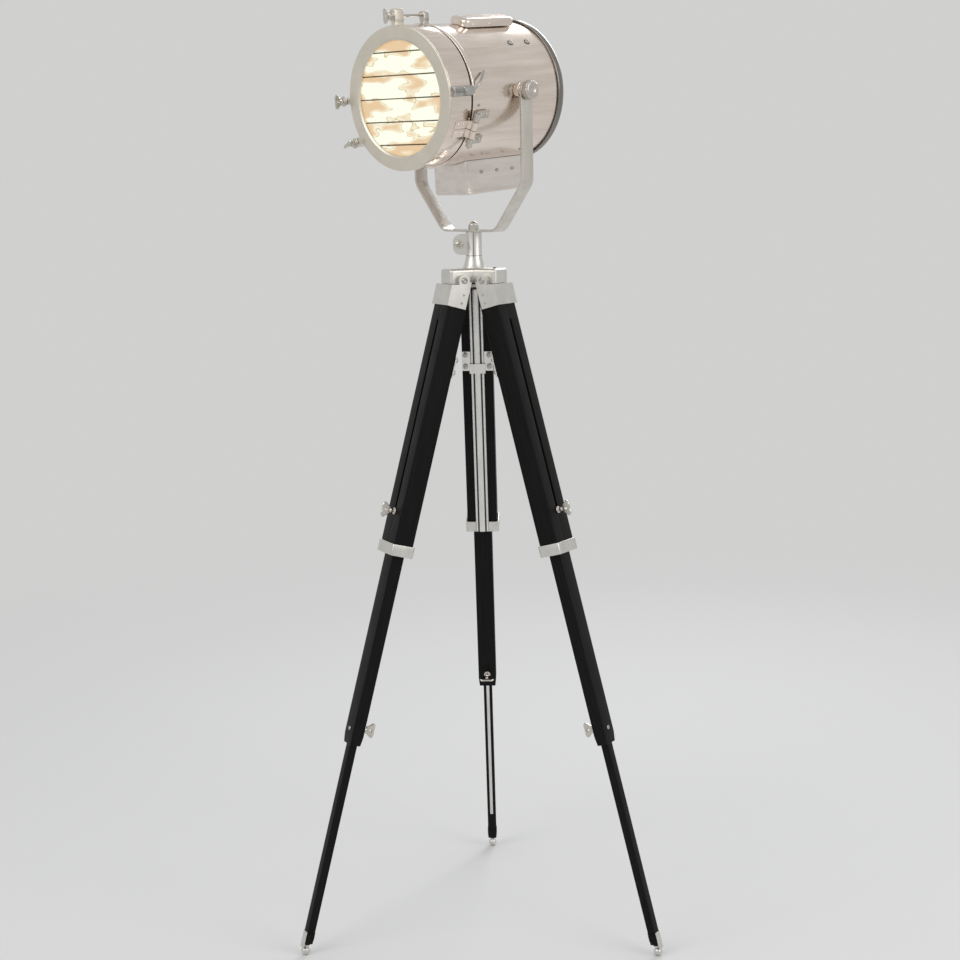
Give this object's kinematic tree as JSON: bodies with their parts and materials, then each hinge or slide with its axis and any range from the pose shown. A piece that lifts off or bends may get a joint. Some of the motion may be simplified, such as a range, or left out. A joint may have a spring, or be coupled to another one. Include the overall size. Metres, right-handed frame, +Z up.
{
  "type": "tripod spotlight floor lamp",
  "caption": "Searchlight-style floor lamp: nickel spotlight head with opening glazed door in a tilting, swivelling yoke on a telescopic black wooden tripod with folding legs.",
  "frame": {"origin": "on the floor, under the axis of the tripod head and its swivel", "axes": "+Z up along the swivel axis, +Y towards the rear leg; the lamp at rest faces the front left, 41 degrees from -Y towards -X"},
  "size_m": [0.6242, 0.5645, 1.5873],
  "materials": {
    "black_wood": "satin black stained wood",
    "satin_nickel": "satin nickel plate on cast aluminium",
    "polished_nickel": "polished nickel",
    "steel_fastener": "nickel-plated steel",
    "satin_nickel_steel": "satin nickel plate on steel strap",
    "polished_shell": "polished nickel plate on spun aluminium",
    "satin_ring": "satin nickel plate on aluminium",
    "clear_glass": "clear glass strips",
    "bar_metal": "dark nickel glazing bars",
    "mirror_bowl": "bright spun reflector",
    "ceramic_socket": "glazed porcelain",
    "bulb_glass": "frosted warm bulb"
  },
  "bodies": {
    "tripod_head_body": {"tripod_head": "satin_nickel", "hinge_bolts": "steel_fastener"},
    "leg_left": {"leg_cap_left": "satin_nickel", "upper_leg_left": "black_wood", "slide_rail_left": "satin_nickel", "rail_bracket_left": "satin_nickel", "leg_band_left": "satin_nickel"},
    "middle_section_left": {"middle_leg_left": "black_wood"},
    "lower_section_left": {"lower_leg_left": "black_wood", "wear_strip_left": "polished_nickel", "foot_left": "polished_nickel"},
    "upper_wing_left": {"slide_knob_left": "polished_nickel"},
    "lower_wing_left": {"clamp_knob_left": "polished_nickel"},
    "leg_right": {"leg_cap_right": "satin_nickel", "upper_leg_right": "black_wood", "slide_rail_right": "satin_nickel", "rail_bracket_right": "satin_nickel", "leg_band_right": "satin_nickel"},
    "middle_section_right": {"middle_leg_right": "black_wood"},
    "lower_section_right": {"lower_leg_right": "black_wood", "wear_strip_right": "polished_nickel", "foot_right": "polished_nickel"},
    "upper_wing_right": {"slide_knob_right": "polished_nickel"},
    "lower_wing_right": {"clamp_knob_right": "polished_nickel"},
    "leg_rear": {"leg_cap_rear": "satin_nickel", "upper_leg_rear": "black_wood", "slide_rail_rear": "satin_nickel", "rail_bracket_rear": "satin_nickel", "leg_band_rear": "satin_nickel"},
    "middle_section_rear": {"middle_leg_rear": "black_wood"},
    "lower_section_rear": {"lower_leg_rear": "black_wood", "wear_strip_rear": "polished_nickel", "foot_rear": "polished_nickel"},
    "upper_wing_rear": {"slide_knob_rear": "polished_nickel"},
    "lower_wing_rear": {"clamp_knob_rear": "polished_nickel"},
    "yoke_frame": {"yoke": "satin_nickel_steel", "yoke_stud": "steel_fastener", "yoke_nut": "steel_fastener"},
    "lamp_head": {"barrel": "polished_shell", "rear_cap": "polished_shell", "cable_gland": "polished_shell", "vent_cover": "polished_shell", "base_box": "polished_shell", "latch_lugs": "polished_shell", "door_hinge": "polished_shell", "hinge_pin": "steel_fastener", "reflector": "mirror_bowl", "bulb_socket": "ceramic_socket", "socket_bracket": "satin_ring", "bulb": "bulb_glass", "head_screws": "steel_fastener"},
    "door": {"door_ring": "satin_ring", "front_glass": "clear_glass", "glass_bars": "bar_metal"},
    "tilt_knob_body_right": {"tilt_knob_right": "polished_nickel"},
    "tilt_knob_body_left": {"tilt_knob_left": "polished_nickel"},
    "swivel_wing": {"swivel_clamp": "steel_fastener"},
    "door_wing_top": {"door_screw_top": "polished_nickel"},
    "door_wing_side": {"door_screw_side": "polished_nickel"},
    "door_wing_low": {"door_screw_low": "polished_nickel"}
  },
  "joints": [
    {"name": "leg_fold_left", "type": "hinge", "parent": "tripod_head_body", "child": "leg_left", "pos_m": [-0.02944, -0.017, 1.14458], "axis": [0.5, -0.866, 0], "range_deg": [0, 13]},
    {"name": "middle_slide_left", "type": "slide", "parent": "leg_left", "child": "middle_section_left", "axis": [0.2314, 0.1336, 0.9636], "range_m": [0, 0.29]},
    {"name": "lower_slide_left", "type": "slide", "parent": "middle_section_left", "child": "lower_section_left", "axis": [0.2314, 0.1336, 0.9636], "range_m": [0, 0.27]},
    {"name": "upper_wing_turn_left", "type": "hinge", "parent": "middle_section_left", "child": "upper_wing_left", "pos_m": [-0.12341, -0.07125, 0.75335], "axis": [-0.8345, -0.4818, 0.2672], "continuous": true},
    {"name": "lower_wing_turn_left", "type": "hinge", "parent": "middle_section_left", "child": "lower_wing_left", "pos_m": [-0.21135, -0.12202, 0.38717], "axis": [-0.8345, -0.4818, 0.2672], "continuous": true},
    {"name": "leg_fold_right", "type": "hinge", "parent": "tripod_head_body", "child": "leg_right", "pos_m": [0.02944, -0.017, 1.14458], "axis": [0.5, 0.866, 0], "range_deg": [0, 13]},
    {"name": "middle_slide_right", "type": "slide", "parent": "leg_right", "child": "middle_section_right", "axis": [-0.2314, 0.1336, 0.9636], "range_m": [0, 0.29]},
    {"name": "lower_slide_right", "type": "slide", "parent": "middle_section_right", "child": "lower_section_right", "axis": [-0.2314, 0.1336, 0.9636], "range_m": [0, 0.27]},
    {"name": "upper_wing_turn_right", "type": "hinge", "parent": "middle_section_right", "child": "upper_wing_right", "pos_m": [0.12341, -0.07125, 0.75335], "axis": [0.8345, -0.4818, 0.2672], "continuous": true},
    {"name": "lower_wing_turn_right", "type": "hinge", "parent": "middle_section_right", "child": "lower_wing_right", "pos_m": [0.21135, -0.12202, 0.38717], "axis": [0.8345, -0.4818, 0.2672], "continuous": true},
    {"name": "leg_fold_rear", "type": "hinge", "parent": "tripod_head_body", "child": "leg_rear", "pos_m": [0, 0.034, 1.14458], "axis": [-1, 0, 0], "range_deg": [0, 13]},
    {"name": "middle_slide_rear", "type": "slide", "parent": "leg_rear", "child": "middle_section_rear", "axis": [0, -0.2672, 0.9636], "range_m": [0, 0.29]},
    {"name": "lower_slide_rear", "type": "slide", "parent": "middle_section_rear", "child": "lower_section_rear", "axis": [0, -0.2672, 0.9636], "range_m": [0, 0.27]},
    {"name": "upper_wing_turn_rear", "type": "hinge", "parent": "middle_section_rear", "child": "upper_wing_rear", "pos_m": [0, 0.1425, 0.75335], "axis": [0, 0.9636, 0.2672], "continuous": true},
    {"name": "lower_wing_turn_rear", "type": "hinge", "parent": "middle_section_rear", "child": "lower_wing_rear", "pos_m": [0, 0.24405, 0.38717], "axis": [0, 0.9636, 0.2672], "continuous": true},
    {"name": "head_swivel", "type": "hinge", "parent": "tripod_head_body", "child": "yoke_frame", "pos_m": [0, 0, 1.22458], "axis": [0, 0, 1], "continuous": true},
    {"name": "head_tilt", "type": "hinge", "parent": "yoke_frame", "child": "lamp_head", "pos_m": [0, 0, 1.45588], "axis": [0.7547, -0.6561, 0], "range_deg": [-90, 35]},
    {"name": "tilt_knob_turn_right", "type": "hinge", "parent": "lamp_head", "child": "tilt_knob_body_right", "pos_m": [0.09962, -0.0866, 1.45588], "axis": [0.7547, -0.6561, 0], "continuous": true},
    {"name": "tilt_knob_turn_left", "type": "hinge", "parent": "lamp_head", "child": "tilt_knob_body_left", "pos_m": [-0.09962, 0.0866, 1.45588], "axis": [0.7547, -0.6561, 0], "continuous": true},
    {"name": "door_swing", "type": "hinge", "parent": "lamp_head", "child": "door", "pos_m": [0.01008, -0.15817, 1.39111], "axis": [0.3019, -0.3448, 0.8888], "range_deg": [0, 110]},
    {"name": "door_wing_turn_top", "type": "hinge", "parent": "door", "child": "door_wing_top", "pos_m": [-0.11721, -0.13483, 1.57371], "axis": [-0.6545, -0.7529, -0.0698], "continuous": true},
    {"name": "door_wing_turn_side", "type": "hinge", "parent": "door", "child": "door_wing_side", "pos_m": [-0.20937, -0.0427, 1.44402], "axis": [-0.6545, -0.7529, -0.0698], "continuous": true},
    {"name": "door_wing_turn_low", "type": "hinge", "parent": "door", "child": "door_wing_low", "pos_m": [-0.19131, -0.05203, 1.3753], "axis": [-0.6545, -0.7529, -0.0698], "continuous": true},
    {"name": "swivel_wing_turn", "type": "hinge", "parent": "tripod_head_body", "child": "swivel_wing", "pos_m": [-0.024, 0, 1.20358], "axis": [0, 1, 0], "continuous": true}
  ]
}
